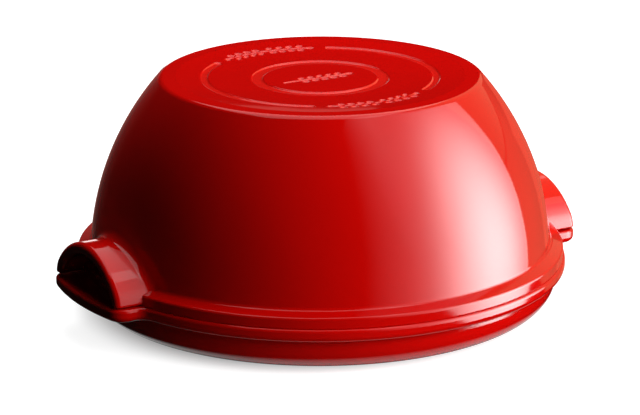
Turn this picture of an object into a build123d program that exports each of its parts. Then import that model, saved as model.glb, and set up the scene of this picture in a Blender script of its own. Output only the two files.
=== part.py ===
from build123d import *
import os
from math import atan2, cos, degrees, radians, sin, sqrt, tan

# Bread cloche: a glazed dome that stands on a shallow glazed dish.
# Millimetres, +Z up, the table at z = 0, the pot's axis on Z, handles along X.

# Heights above the table
cloche_height = 140.0
seam_height = 30.0

# Outside radii, from the body of the dish outwards and up: each is a step from the one before
body_radius = 142.0
rim_overhang = 5.5
lug_overhang = 15.5
flange_set_back = 1.3
hood_overhang = 11.2
flange_width = 7.3

# Dome wall: one arc that leans in from the seam to the crown
wall_curve_radius = 169.3
wall_upright_height = 27.0
dome_wall = 8.0

# Crown: a flat band at the edge round a shallow dished disc with a flat middle
crown_thickness = 9.0
crown_edge_radius = 5.0
crown_inner_radius = 16.0
crown_band_width = 9.7
crown_dish_depth = 2.2
crown_middle_radius = 34.3

# Flange at the foot of the dome
flange_face_height = 6.4
flange_slope_height = 2.6
flange_cove_radius = 2.5
flange_nose_radius = 1.6
flange_foot_radius = 0.8

# Tongue under the dome that keeps it central in the dish
tongue_width = 4.6
tongue_height = 4.0
tongue_edge_radius = 1.2
tongue_side_gap = 1.0
tongue_end_gap = 1.0

# Hood handles on the dome: arched, hollow, open outwards
hood_half_width = 41.2
hood_rise = 27.1
hood_shoulder_radius = 14.8
hood_wall = 7.5
hood_gap = 1.1
hood_lip_radius = 3.3
hood_root_radius = 6.0
hood_inside_root_radius = 2.5
hood_root_sink = 0.05

# Rim of the dish, and the lugs that stand out from it under the hoods
rim_thickness = 8.0
rim_top_radius = 2.0
rim_nose_radius = 3.8
lug_half_width = 43.0
lug_front_radius = 170.0
lug_corner_radius = 10.0
lug_root_radius = 6.0
lug_scoop_depth = 1.6
lug_scoop_radius = 14.0
lug_scoop_inset = 11.5
lug_scoop_half_length = 26.0

# Body of the dish
body_groove_height = 3.0
body_groove_fillet = 1.2
body_cone_angle = 18.0
body_cone_height = 2.8
dish_wall = 8.0
dish_floor_thickness = 8.0
dish_corner_radius = 12.0
dish_lip_radius = 1.2
foot_height = 2.0
foot_width = 12.0
foot_edge_radius = 0.8

# Grooves pressed into the crown
outer_ring_inset = 16.9
outer_ring_width = 4.2
outer_ring_half_angle = 56.0
inner_ring_radius = 37.6
inner_ring_width = 6.6
ring_depth = 0.6
ring_corner_radius = 0.3

# Grain marks pressed into the crown, in ears of paired grains on a stem
grain_length = 8.6
grain_radius = 2.6
grain_depth = 0.9
grain_lean_angle = 30.0
grain_spread = 3.4
grain_pitch = 6.2
stem_radius = 0.8
stem_depth = 0.5
sprig_grain_pairs = 4
sprig_start = 4.4
ear_grain_pairs = 5
ear_half_length = 24.0

# Extra length by which a cutting body overruns what it cuts
cut_overrun = 2.0

# Heights and radii that follow from the sizes above
rim_radius = body_radius + rim_overhang
lug_reach = rim_radius + lug_overhang
flange_radius = rim_radius - flange_set_back
hood_reach = flange_radius + hood_overhang
wall_upright_radius = flange_radius - flange_width
wall_centre_radius = wall_upright_radius - wall_curve_radius
flange_shoulder_height = seam_height + flange_face_height
flange_top_height = flange_shoulder_height + flange_slope_height
crown_inner_height = cloche_height - crown_thickness
tongue_foot_height = seam_height - tongue_height
hood_foot_height = seam_height + hood_gap
rim_under_height = seam_height - rim_thickness
body_top_height = rim_under_height - body_groove_height
body_curve_radius = (body_top_height - body_cone_height) / cos(radians(body_cone_angle))
body_cone_radius = body_radius - body_curve_radius * (1 - sin(radians(body_cone_angle)))
foot_radius = body_cone_radius - body_cone_height / tan(radians(body_cone_angle))
dish_floor_height = foot_height + dish_floor_thickness
dish_radius = body_radius - dish_wall
ledge_height = tongue_foot_height - tongue_end_gap


def wall_radius_at(height, inset=0):
    """Radius of the wall arc at a height, for the arc moved inwards by inset."""
    rise = height - wall_upright_height
    return wall_centre_radius + sqrt((wall_curve_radius - inset) ** 2 - rise**2)


def wall_arc(start, end, inset=0):
    """The wall arc from one height to another, in the half section."""
    heights = (start, (start + end) / 2, end)
    return ThreePointArc(*[(wall_radius_at(height, inset), height) for height in heights])


def crown_height_at(radius):
    """Height of the crown at a radius: a flat middle, then an arc that rises to the band."""
    across = crown_dish_radius - crown_middle_radius
    curve_radius = (across**2 + crown_dish_depth**2) / (2 * crown_dish_depth)
    run = max(radius - crown_middle_radius, 0)
    rise = curve_radius - sqrt(curve_radius**2 - run**2)
    return cloche_height - crown_dish_depth + rise


crown_dish_radius = wall_radius_at(cloche_height) - crown_band_width
outer_ring_radius = crown_dish_radius - outer_ring_inset
tongue_radius = wall_radius_at(seam_height, dome_wall) + tongue_width
ledge_radius = tongue_radius + tongue_side_gap


def closed_face(curves):
    """The face inside a closed chain of curves."""
    return make_face(Curve() + curves)


def rounded(section, *corners):
    """Round the corners of a section, each given as a point and a radius."""
    for (across, up), radius in corners:
        vertex = section.vertices().sort_by_distance((across, up, 0))[0]
        section = fillet(vertex, radius)
    return section


def turned(section):
    """Turn a half section about the Z axis into a solid, its seam on the Y axis."""
    return Rot(0, 0, 90) * revolve(Plane.XZ * section, axis=Axis.Z)


def dome_shell():
    """The dome without handles or marks."""
    dish_centre = (0, crown_height_at(0))
    middle_edge = (crown_middle_radius, crown_height_at(0))
    halfway = (crown_middle_radius + crown_dish_radius) / 2
    dish_edge = (crown_dish_radius, cloche_height)
    crown_corner = (wall_radius_at(cloche_height), cloche_height)
    cove = (wall_radius_at(flange_top_height), flange_top_height)
    nose = (flange_radius, flange_shoulder_height)
    flange_foot = (flange_radius, seam_height)
    tongue_root = (tongue_radius, seam_height)
    tongue_outside = (tongue_radius, tongue_foot_height)
    tongue_inside = (wall_radius_at(tongue_foot_height, dome_wall), tongue_foot_height)
    crown_inside = (wall_radius_at(crown_inner_height, dome_wall), crown_inner_height)
    section = closed_face([
        Line(dish_centre, middle_edge),
        ThreePointArc(middle_edge, (halfway, crown_height_at(halfway)), dish_edge),
        Line(dish_edge, crown_corner),
        wall_arc(cloche_height, flange_top_height),
        Polyline(cove, nose, flange_foot, tongue_root, tongue_outside, tongue_inside),
        wall_arc(tongue_foot_height, crown_inner_height, dome_wall),
        Polyline(crown_inside, (0, crown_inner_height), dish_centre),
    ])
    return turned(rounded(
        section,
        (crown_corner, crown_edge_radius),
        (cove, flange_cove_radius),
        (nose, flange_nose_radius),
        (flange_foot, flange_foot_radius),
        (tongue_outside, tongue_edge_radius),
        (tongue_inside, tongue_edge_radius),
        (crown_inside, crown_inner_radius),
    ))


def wall_band(low, high, inset):
    """A solid disc between two heights whose edge is the wall arc moved inwards by inset."""
    low_edge = (wall_radius_at(low, inset), low)
    high_edge = (wall_radius_at(high, inset), high)
    return turned(closed_face([
        wall_arc(high, low, inset),
        Polyline(low_edge, (0, low), (0, high), high_edge),
    ]))


def arch_face(inset):
    """The hood's arch, standing on its foot line and drawn inwards by inset."""
    shoulder_centre = hood_half_width - hood_shoulder_radius
    top_radius = (shoulder_centre**2 + hood_rise**2 - hood_shoulder_radius**2) / (
        2 * (hood_rise - hood_shoulder_radius)
    )
    top_centre = hood_rise - top_radius
    join = atan2(-top_centre, shoulder_centre)
    shoulder = hood_shoulder_radius - inset

    def on_shoulder(angle, side):
        across = shoulder_centre + shoulder * cos(angle)
        return (side * across, hood_foot_height + shoulder * sin(angle))

    summit = (0, hood_foot_height + hood_rise - inset)
    return closed_face([
        ThreePointArc(on_shoulder(0, 1), on_shoulder(join / 2, 1), on_shoulder(join, 1)),
        ThreePointArc(on_shoulder(join, 1), summit, on_shoulder(join, -1)),
        ThreePointArc(on_shoulder(join, -1), on_shoulder(join / 2, -1), on_shoulder(0, -1)),
        Line(on_shoulder(0, -1), on_shoulder(0, 1)),
    ])


def hood():
    """The arched shell of the hood on the +X side, its lip rounded, run in to the axis."""
    outside = extrude(Plane.YZ * arch_face(0), amount=hood_reach)
    inside = extrude(Plane.YZ * arch_face(hood_wall), amount=hood_reach + cut_overrun)
    shell = outside - inside
    mouth = shell.faces().sort_by(Axis.X)[-1]
    lip = mouth.edges().filter_by(lambda edge: edge.center().Z > hood_foot_height + hood_gap)
    return fillet(lip, hood_lip_radius)


def hooded_wall():
    """Both hoods, filleted outside and inside to a band that lies just under the wall's face."""
    shell = hood()
    low = hood_foot_height
    high = crown_inner_height - crown_inner_radius
    joined = wall_band(low, high, hood_root_sink) + shell + Rot(0, 0, 180) * shell
    middle = extrude(Plane.YZ * arch_face(hood_wall / 2), amount=hood_reach, both=True)
    lip_start = hood_reach - hood_lip_radius

    def roots(solid, within):
        def chosen(edge):
            box = edge.bounding_box()
            on_wall = edge.geom_type == GeomType.BSPLINE and max(box.max.X, -box.min.X) < lip_start
            return on_wall and middle.is_inside(edge @ 0.5) == within
        return solid.edges().filter_by(chosen)

    joined = fillet(roots(joined, False), hood_root_radius)
    joined = fillet(roots(joined, True), hood_inside_root_radius)
    return joined - wall_band(low - cut_overrun, high + cut_overrun, dome_wall / 2)


def ring_groove(radius, width, start, sweep):
    """A flat-bottomed groove in the crown, from a start angle through a sweep."""
    bottom = crown_height_at(radius) - ring_depth
    top = cloche_height + cut_overrun
    inner = radius - width / 2
    outer = radius + width / 2
    corners = [(inner, bottom), (outer, bottom), (outer, top), (inner, top)]
    section = closed_face([Polyline(*corners, corners[0])])
    section = rounded(section, (corners[0], ring_corner_radius), (corners[1], ring_corner_radius))
    return Rot(0, 0, start) * revolve(Plane.XZ * section, axis=Axis.Z, revolution_arc=sweep)


def grain(radius, angle, heading):
    """The spindle that presses one grain mark at a polar place, its length along a heading."""
    half = grain_length / 2
    bulge = ThreePointArc((-half, 0), (0, grain_radius), (half, 0))
    spindle = revolve(closed_face([bulge, Line((half, 0), (-half, 0))]), axis=Axis.X)
    height = crown_height_at(radius) + grain_radius - grain_depth
    place = Rot(0, 0, angle) * Pos(radius, 0, height)
    return place * Rot(0, 0, heading - angle) * spindle


def sprig(middle_angle):
    """Two ears of grain that grow apart along the outer ring from a middle angle."""
    marks = []
    tip_run = sprig_start + sprig_grain_pairs * grain_pitch
    for side in (-1, 1):
        for pair in range(sprig_grain_pairs):
            run = sprig_start + pair * grain_pitch
            angle = middle_angle + side * degrees(run / outer_ring_radius)
            for bank in (-1, 1):
                radius = outer_ring_radius + bank * grain_spread
                marks.append(grain(radius, angle, angle + side * (90 - bank * grain_lean_angle)))
        tip_angle = middle_angle + side * degrees(tip_run / outer_ring_radius)
        marks.append(grain(outer_ring_radius, tip_angle, tip_angle + 90))
    half_sweep = degrees(tip_run / outer_ring_radius)
    height = crown_height_at(outer_ring_radius) + stem_radius - stem_depth
    stem_section = Pos(outer_ring_radius, height) * Circle(stem_radius)
    stem = revolve(Plane.XZ * stem_section, axis=Axis.Z, revolution_arc=2 * half_sweep)
    marks.append(Rot(0, 0, middle_angle - half_sweep) * stem)
    return marks


def ear():
    """One straight ear of grain across the middle of the crown, its stem along X."""
    marks = []
    for pair in range(ear_grain_pairs):
        along = ear_half_length - grain_length / 2 - (pair + 1) * grain_pitch
        for bank in (-1, 1):
            aside = bank * grain_spread
            radius = sqrt(along**2 + aside**2)
            angle = degrees(atan2(aside, along))
            marks.append(grain(radius, angle, bank * grain_lean_angle))
    marks.append(grain(ear_half_length - grain_length / 2, 0, 0))
    height = crown_height_at(0) + stem_radius - stem_depth
    stem_middle = -grain_length / 4
    stem_length = 2 * ear_half_length - grain_length / 2
    stem = Rot(0, 90, 0) * Cylinder(stem_radius, stem_length)
    marks.append(Pos(stem_middle, 0, height) * stem)
    return marks


def crown_marks():
    """All that is pressed into the crown."""
    sweep = 2 * outer_ring_half_angle
    marks = [ring_groove(inner_ring_radius, inner_ring_width, 0, 360)]
    for handle_angle in (0, 180):
        start = handle_angle - outer_ring_half_angle
        marks.append(ring_groove(outer_ring_radius, outer_ring_width, start, sweep))
    return marks + sprig(90) + sprig(-90) + ear()


def dome():
    """The dome with its two hood handles and the marks in its crown."""
    return dome_shell() + hooded_wall() - crown_marks()


def dish_body():
    """The dish as a solid of revolution, without its rim's nose and its hollow."""
    curve_centre = body_radius - body_curve_radius
    angle = radians(body_cone_angle)
    halfway = (radians(90) + angle) / 2
    curve_middle = (
        curve_centre + body_curve_radius * sin(halfway),
        body_top_height - body_curve_radius * cos(halfway),
    )
    foot_inner_radius = foot_radius - foot_width
    groove = (body_radius, rim_under_height)
    rim_inside = rim_radius - rim_nose_radius
    section = closed_face([
        Polyline((0, seam_height), (0, foot_height), (foot_inner_radius, foot_height),
                 (foot_inner_radius, 0), (foot_radius, 0), (body_cone_radius, body_cone_height)),
        ThreePointArc((body_cone_radius, body_cone_height), curve_middle, (body_radius, body_top_height)),
        Polyline((body_radius, body_top_height), groove, (rim_inside, rim_under_height),
                 (rim_inside, seam_height), (0, seam_height)),
    ])
    return turned(rounded(
        section,
        (groove, body_groove_fillet),
        ((foot_inner_radius, 0), foot_edge_radius),
        ((foot_radius, 0), foot_edge_radius),
    ))


def rim_plate():
    """The rim and both lugs as one plate with rounded edges."""
    front_centre = lug_reach - lug_front_radius
    strip = Pos(lug_reach / 2, 0) * Rectangle(lug_reach, 2 * lug_half_width)
    lug = (Pos(front_centre, 0) * Circle(lug_front_radius)) & strip
    corner_across = front_centre + sqrt(lug_front_radius**2 - lug_half_width**2)
    corners = [(corner_across, side * lug_half_width) for side in (-1, 1)]
    lug = rounded(lug, *[(corner, lug_corner_radius) for corner in corners])
    plan = Circle(rim_radius) + lug + Rot(0, 0, 180) * lug
    root_across = sqrt(rim_radius**2 - lug_half_width**2)
    roots = [(end * root_across, side * lug_half_width) for end in (-1, 1) for side in (-1, 1)]
    plan = rounded(plan, *[(root, lug_root_radius) for root in roots])
    plate = Pos(0, 0, rim_under_height) * extrude(plan, amount=rim_thickness)
    plate = fillet(plate.faces().sort_by(Axis.Z)[-1].edges(), rim_top_radius)
    return fillet(plate.faces().sort_by(Axis.Z)[0].edges(), rim_nose_radius)


def dish_hollow():
    """The space inside the dish, with the ledge that takes the dome's tongue."""
    above = seam_height + cut_overrun
    outside = ledge_radius + cut_overrun
    floor_corner = (dish_radius, dish_floor_height)
    ledge_edge = (dish_radius, ledge_height)
    seat_edge = (ledge_radius, seam_height)
    section = closed_face([Polyline(
        (0, dish_floor_height), floor_corner, ledge_edge, (ledge_radius, ledge_height), seat_edge,
        (outside, seam_height), (outside, above), (0, above), (0, dish_floor_height),
    )])
    return turned(rounded(
        section,
        (floor_corner, dish_corner_radius),
        (ledge_edge, dish_lip_radius),
        (seat_edge, dish_lip_radius),
    ))


def lug_scoop():
    """The shallow finger hollow under the +X lug."""
    centre_height = rim_under_height + lug_scoop_depth - lug_scoop_radius
    length = 2 * lug_scoop_half_length
    bar = Rot(90, 0, 0) * Cylinder(lug_scoop_radius, length)
    for side in (-1, 1):
        bar += Pos(0, side * lug_scoop_half_length, 0) * Sphere(lug_scoop_radius)
    placed = Pos(lug_reach - lug_scoop_inset, 0, centre_height) * bar
    return split(placed, Plane.XY.offset(rim_under_height), keep=Keep.TOP)


def dish():
    """The base dish with its rim and two lugs."""
    body = dish_body() + rim_plate() - dish_hollow()
    scoop = lug_scoop()
    return body - scoop - Rot(0, 0, 180) * scoop


os.makedirs("parts", exist_ok=True)
export_step(dome(), "parts/dome.step")
export_step(dish(), "parts/dish.step")
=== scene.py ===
import math

import bpy
import numpy as np
from mathutils import Matrix, Vector
from mathutils.kdtree import KDTree


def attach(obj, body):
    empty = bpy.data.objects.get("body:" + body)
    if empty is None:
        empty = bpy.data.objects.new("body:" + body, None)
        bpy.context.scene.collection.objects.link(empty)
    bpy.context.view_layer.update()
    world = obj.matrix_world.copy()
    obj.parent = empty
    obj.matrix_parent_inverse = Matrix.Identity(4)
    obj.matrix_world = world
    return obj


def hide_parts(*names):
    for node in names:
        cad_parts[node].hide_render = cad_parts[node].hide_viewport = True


# A bread cloche in glazed stoneware: a turned dish with two lugs, and a turned dome with two hood
# handles. The castings are drawn in millimetres, and become metres where a mesh is made. Camera,
# lamps and floor are set out in metres and degrees.

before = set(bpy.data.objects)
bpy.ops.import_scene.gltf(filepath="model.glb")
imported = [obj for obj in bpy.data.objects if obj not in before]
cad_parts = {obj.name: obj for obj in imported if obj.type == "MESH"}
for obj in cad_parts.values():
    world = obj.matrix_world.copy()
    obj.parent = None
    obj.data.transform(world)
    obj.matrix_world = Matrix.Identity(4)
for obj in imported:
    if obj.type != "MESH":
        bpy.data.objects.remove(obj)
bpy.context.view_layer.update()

MM = 0.001

# Outside radii and heights of the castings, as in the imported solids. The rim is drawn a hair
# smaller, so that no facet leaves the solids' box.
BODY_RADIUS = 142.0
RIM_RADIUS = 147.45
LUG_REACH = 163.0
FLANGE_RADIUS = 146.2
FLANGE_TOP = 36.4
HOOD_REACH = 157.4
CROWN_TOP = 140.0
SEAM = 30.0

# Wall of the dome: an arc about a centre (radius, height), down to the cove over the flange
WALL_CENTRE = (-30.4, 27.0)
WALL_CURVE = 169.3
WALL_THICKNESS = 8.0
COVE_HEIGHT = 39.0
CROWN_UNDER = 131.0

# Tongue that centres the dome in the dish
TONGUE_FOOT = 26.0
TONGUE_WIDTH = 4.6

# Rounding of the dome's corners
CROWN_DISH_EDGE = 12.0
CROWN_EDGE = 5.0
COVE_ROUND = 2.5
FLANGE_TOP_EDGE = 1.6
FLANGE_UNDER_EDGE = 0.8
TONGUE_ROOT = 0.4
TONGUE_EDGE = 1.2
CROWN_INSIDE_CORNER = 16.0

# Dished crown: flat in the middle, then rising by an arc to a flat band
CROWN_MIDDLE_RADIUS = 34.3
CROWN_DISH_RADIUS = 85.96
CROWN_DISH_DEPTH = 2.2
CROWN_DISH_RUN = CROWN_DISH_RADIUS - CROWN_MIDDLE_RADIUS
CROWN_DISH_CURVE = (CROWN_DISH_RUN**2 + CROWN_DISH_DEPTH**2) / (2 * CROWN_DISH_DEPTH)

# Hood handles. Their roots run on a little way inside the wall, and the lift that makes room for
# the edge of their feet fades out over a short height.
HOOD_HALF_WIDTH = 41.2
HOOD_RISE = 27.1
HOOD_SHOULDER = 14.8
HOOD_WALL = 7.5
HOOD_FOOT = 31.1
HOOD_LIP = 3.3
HOOD_ROOT = 6.0
HOOD_INSIDE_ROOT = 2.5
HOOD_ROOT_SINK = 3.0
HOOD_FOOT_EDGE = 1.0
HOOD_LIFT_FADE = 4.0

# Inside of the dish, with the ledge round the dome's tongue
DISH_FLOOR = 10.0
DISH_RADIUS = 134.0
DISH_CORNER = 12.0
LEDGE_HEIGHT = 25.0
LEDGE_RADIUS = 136.5
LEDGE_EDGE = 1.2
LEDGE_CORNER = 0.5

# Outside of the dish: the groove under its rim, the cone under its body, and its foot ring
GROOVE_CORNER = 1.2
BODY_CURVE_TOP = 19.0
CONE_TOP = 2.8
CONE_LEAN = 18.0
FOOT_WIDTH = 12.0
FOOT_HEIGHT = 2.0
FOOT_EDGE = 0.8
BARE_HEIGHT = 0.6

# Rim bead and lugs
RIM_UNDER = 22.0
RIM_TOP_EDGE = 2.0
RIM_NOSE = 3.8
LUG_HALF_WIDTH = 43.0
LUG_FRONT = 170.0
LUG_CORNER = 10.0
LUG_ROOT = 6.0

# Finger scoop under each lug: part of a lying cylinder that fades softly into the flat, by a
# softness in square millimetres. Where it is deeper than SCOOP_SHADED it is shaded as it curves.
SCOOP_DEPTH = 1.6
SCOOP_RADIUS = 14.0
SCOOP_REACH = 151.5
SCOOP_HALF_LENGTH = 26.0
SCOOP_SOFTNESS = 0.02
SCOOP_SHADED = 0.02
UNDER_OVERLAP = 0.001

# Marks pressed into the crown. The outer ring is broken at the sprigs.
RING_RADIUS = 69.06
RING_HALF_WIDTH = 2.1
RING_HALF_ANGLE = 56.0
INNER_RING_RADIUS = 37.6
INNER_RING_HALF_WIDTH = 3.3
RING_DEPTH = 0.6
STEM_HALF_WIDTH = 0.75
STEM_DEPTH = 0.5
GRAIN_HALF_LENGTH = 2.9
GRAIN_HALF_WIDTH = 2.0
GRAIN_DEPTH = 0.9
GRAIN_LEAN = 30.0
GRAIN_SPREAD = 3.4
GRAIN_PITCH = 6.2
SPRIG_START = 4.4
SPRIG_PAIRS = 4
EAR_PAIRS = 5
EAR_HALF_LENGTH = 24.0
EAR_TIP = 19.7
MARK_SOFTNESS = 0.4

# Where a grain's hollow starts and where it is deepest, in shares of its half size
GRAIN_BRIM = 1.15
GRAIN_BED = 0.1

# Points along the lines that guide the marks
RING_POINTS = 113
INNER_RING_POINTS = 181
SPRIG_POINTS = 49
EAR_POINTS = 23

# Share of a ring's depth from which a place counts as pressed
PRESSED_SHARE = 0.001

# Zones of the outlines that get a mesh of their own: the crown's top, the flange with the tongue,
# the outside of the dome as a skin under its wall's face, the dish's rim, and its foot ring
CROWN_ZONE_HEIGHT = 136.0
CROWN_ZONE_RADIUS = 90.0
FLANGE_ZONE_HEIGHT = 46.0
FLANGE_ZONE_RADIUS = 120.0
OUTSIDE_SKIN = 2.0
RIM_ZONE_RADIUS = 126.0
FOOT_ZONE_HEIGHT = 5.0
FOOT_ZONE_RADIUS = 108.0

# Fineness of the dome. Spacing along its outline is in millimetres, segments go round its axis,
# and each band reaches out to a radius. The marks get the finest mesh, and the unseen inside the
# coarsest.
GROOVE_EDGES = (
    INNER_RING_RADIUS - INNER_RING_HALF_WIDTH, INNER_RING_RADIUS + INNER_RING_HALF_WIDTH,
    RING_RADIUS - RING_HALF_WIDTH, RING_RADIUS + RING_HALF_WIDTH,
)
GROOVE_EDGE_REACH = 0.8
GROOVE_EDGE_SPACING = 0.4
CROWN_SPACINGS = ((26, 0.9), (33.5, 2.5), (42, 1.2), (61, 4.0), (77.5, 0.8), (math.inf, 2.5))
FLANGE_SPACING = 1.8
DOME_SPACING = 6.0
CROWN_SEGMENTS = (
    (2, 32), (5, 64), (12, 128), (57, 256), (60.5, 512), (78, 1024), (math.inf, 512),
)
OUTSIDE_SEGMENTS = 512
INSIDE_SEGMENTS = ((8, 32), (20, 64), (60, 128), (math.inf, 256))

# Fineness of the dish, hoods and lugs
RIM_SPACING = 1.0
FOOT_SPACING = 1.2
DISH_SPACING = 5.0
DISH_SEGMENTS = 384
HOOD_SPACING = 1.1
LUG_SPACING = 1.2

# An outline's run is measured in steps of this length, at least this many, and an arc gets a
# point at least this often, as a share of its radius
MEASURING_STEP = 0.05
LEAST_STEPS = 12
ARC_STEP = 0.2

# A run shorter than this is none, and a turned mesh's points this close are merged into one. A
# point this close to the axis, the rim or the ground is on it.
ONE_POINT = 1e-6
MERGE_GAP = 0.01
ON_AXIS = 1e-4
ON_RIM = 1e-3
ON_GROUND = 0.1

# Camera: degrees, metres, and millimetres of lens and sensor
CAMERA_AZIMUTH = -29.56
CAMERA_ELEVATION = 16.97
CAMERA_DISTANCE = 1.867
CAMERA_TARGET = (-0.00026, 0.00015, 0.05708)
CAMERA_LENS = 174.4
CAMERA_SENSOR = 36.0
CAMERA_ROLL = 0.15

# The point that the lamps face, and the linear colours of the cards and the room in the glaze
LAMP_TARGET = (0, 0, 0.06)
WHITE = (1, 1, 1, 1)
WARM_CARD = (1.0, 0.8, 0.45)
RED_CARD = (1.0, 0.14, 0.08)
ROSE_CARD = (1.0, 0.38, 0.33)
ROSE_ROOM = (1.0, 0.42, 0.36, 1)

# Middles of the table's painted shadow, of its painted pool of light in the glaze and of its
# painted patch that throws light back at the pot, in metres, and half its width in millimetres
PAINTED_SHADOW_MIDDLE = (-0.011, 0.008, 0)
PAINTED_POOL_MIDDLE = (0.002, -0.004, 0)
PAINTED_BOUNCE_MIDDLE = (0.085, -0.08, 0)
TABLE_HALF_WIDTH = 6000.0


def left_of(direction):
    """The direction turned a quarter turn to the left."""
    return np.array((-direction[1], direction[0]))


def run(start, end, centre=None):
    """One run of an outline: straight, or the short arc about a centre."""
    about = None if centre is None else np.array(centre, float)
    return {"start": np.array(start, float), "end": np.array(end, float), "centre": about}


def way_round(piece):
    """1 where an arc turns to the left, -1 where it turns to the right."""
    first = piece["start"] - piece["centre"]
    last = piece["end"] - piece["centre"]
    return math.copysign(1.0, first[0] * last[1] - first[1] * last[0])


def heading(piece, point):
    """Unit direction of travel along a run at one of its points."""
    if piece["centre"] is None:
        along = piece["end"] - piece["start"]
    else:
        along = left_of(point - piece["centre"]) * way_round(piece)
    return along / np.linalg.norm(along)


def touch_points(before, after, radius):
    """Where a rounding of that radius leaves one run and meets the next, and its centre."""
    corner = before["end"]
    arrive, leave = heading(before, corner), heading(after, corner)
    side = math.copysign(1.0, arrive[0] * leave[1] - arrive[1] * leave[0])
    if before["centre"] is None and after["centre"] is None:
        half = math.acos(float(np.clip(arrive @ leave, -1, 1))) / 2
        back = radius * math.tan(half)
        first, last = corner - arrive * back, corner + leave * back
        return first, last, first + left_of(arrive) * side * radius
    flat, arc = (before, after) if before["centre"] is None else (after, before)
    along = heading(flat, flat["start"])
    base = flat["start"] + left_of(along) * side * radius
    reach = np.linalg.norm(arc["start"] - arc["centre"]) - way_round(arc) * side * radius
    foot = (arc["centre"] - base) @ along
    height = np.linalg.norm(arc["centre"] - base - along * foot)
    spread = math.sqrt(max(reach**2 - height**2, 0.0))
    options = [base + along * (foot + sign * spread) for sign in (-1, 1)]
    centre = min(options, key=lambda point: np.linalg.norm(point - corner))
    on_flat = centre - left_of(along) * side * radius
    outwards = (centre - arc["centre"]) / np.linalg.norm(centre - arc["centre"])
    on_arc = arc["centre"] + outwards * np.linalg.norm(arc["start"] - arc["centre"])
    return (on_flat, on_arc, centre) if flat is before else (on_arc, on_flat, centre)


def outline(corners, step):
    """Points and outward normals along runs whose corners are rounded.

    corners lists each run with the radius at its end, and step gives the spacing at a point.
    Travel keeps the outside on its left."""
    pieces = []
    start = corners[0][0]["start"]
    for (piece, radius), following in zip(corners, [c[0] for c in corners[1:]] + [None]):
        if following is None or radius == 0:
            pieces.append(run(start, piece["end"], piece["centre"]))
            start = piece["end"]
            continue
        first, last, centre = touch_points(piece, following, radius)
        pieces.append(run(start, first, piece["centre"]))
        pieces.append(run(first, last, centre))
        start = last
    points, normals = [], []
    for piece in pieces:
        length = np.linalg.norm(piece["end"] - piece["start"])
        if length < ONE_POINT:
            continue
        shares = np.linspace(0, 1, max(int(length / MEASURING_STEP), LEAST_STEPS) + 1)
        if piece["centre"] is None:
            path = piece["start"] + shares[:, None] * (piece["end"] - piece["start"])
            spacing = np.array([step(point) for point in path])
        else:
            first = piece["start"] - piece["centre"]
            last = piece["end"] - piece["centre"]
            radius = np.linalg.norm(first)
            sweep = math.atan2(first[0] * last[1] - first[1] * last[0], first @ last)
            angles = math.atan2(first[1], first[0]) + shares * sweep
            path = piece["centre"] + radius * np.stack([np.cos(angles), np.sin(angles)], 1)
            spacing = np.array([min(step(point), radius * ARC_STEP) for point in path])
            length = abs(sweep) * radius
        steps = 2 * length / (len(path) - 1) / (spacing[1:] + spacing[:-1])
        travelled = np.concatenate([[0], np.cumsum(steps)])
        wanted = np.linspace(0, travelled[-1], max(int(math.ceil(travelled[-1])), 1) + 1)
        for share in np.interp(wanted, travelled, shares)[(1 if points else 0):]:
            if piece["centre"] is None:
                point = piece["start"] + share * (piece["end"] - piece["start"])
            else:
                angle = angles[0] + share * sweep
                point = piece["centre"] + radius * np.array((math.cos(angle), math.sin(angle)))
            points.append(point)
            normals.append(left_of(heading(piece, point)))
    return np.array(points), np.array(normals)


def wall_radius(height, inset=0.0):
    """Radius of the dome's wall at a height, for the wall moved inwards by inset."""
    return WALL_CENTRE[0] + math.sqrt((WALL_CURVE - inset) ** 2 - (height - WALL_CENTRE[1]) ** 2)


def crown_height(radius):
    """Height of the crown before it is marked: flat in the middle, then rising to the band."""
    across = np.clip(radius - CROWN_MIDDLE_RADIUS, 0, CROWN_DISH_RUN)
    rise = CROWN_DISH_CURVE - np.sqrt(CROWN_DISH_CURVE**2 - across**2)
    return CROWN_TOP - CROWN_DISH_DEPTH + rise


def on_crown_top(point):
    """Whether a point of the dome's outline lies on the dished top of the crown."""
    radius, height = point
    return height > CROWN_ZONE_HEIGHT and radius < CROWN_ZONE_RADIUS


def by_flange(point):
    """Whether a point of the dome's outline lies on the flange, the tongue or next to them."""
    radius, height = point
    return height < FLANGE_ZONE_HEIGHT and radius > FLANGE_ZONE_RADIUS


def in_band(radius, bands):
    """The value of the first band that reaches out past a radius."""
    return next(value for edge, value in bands if radius < edge)


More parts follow.
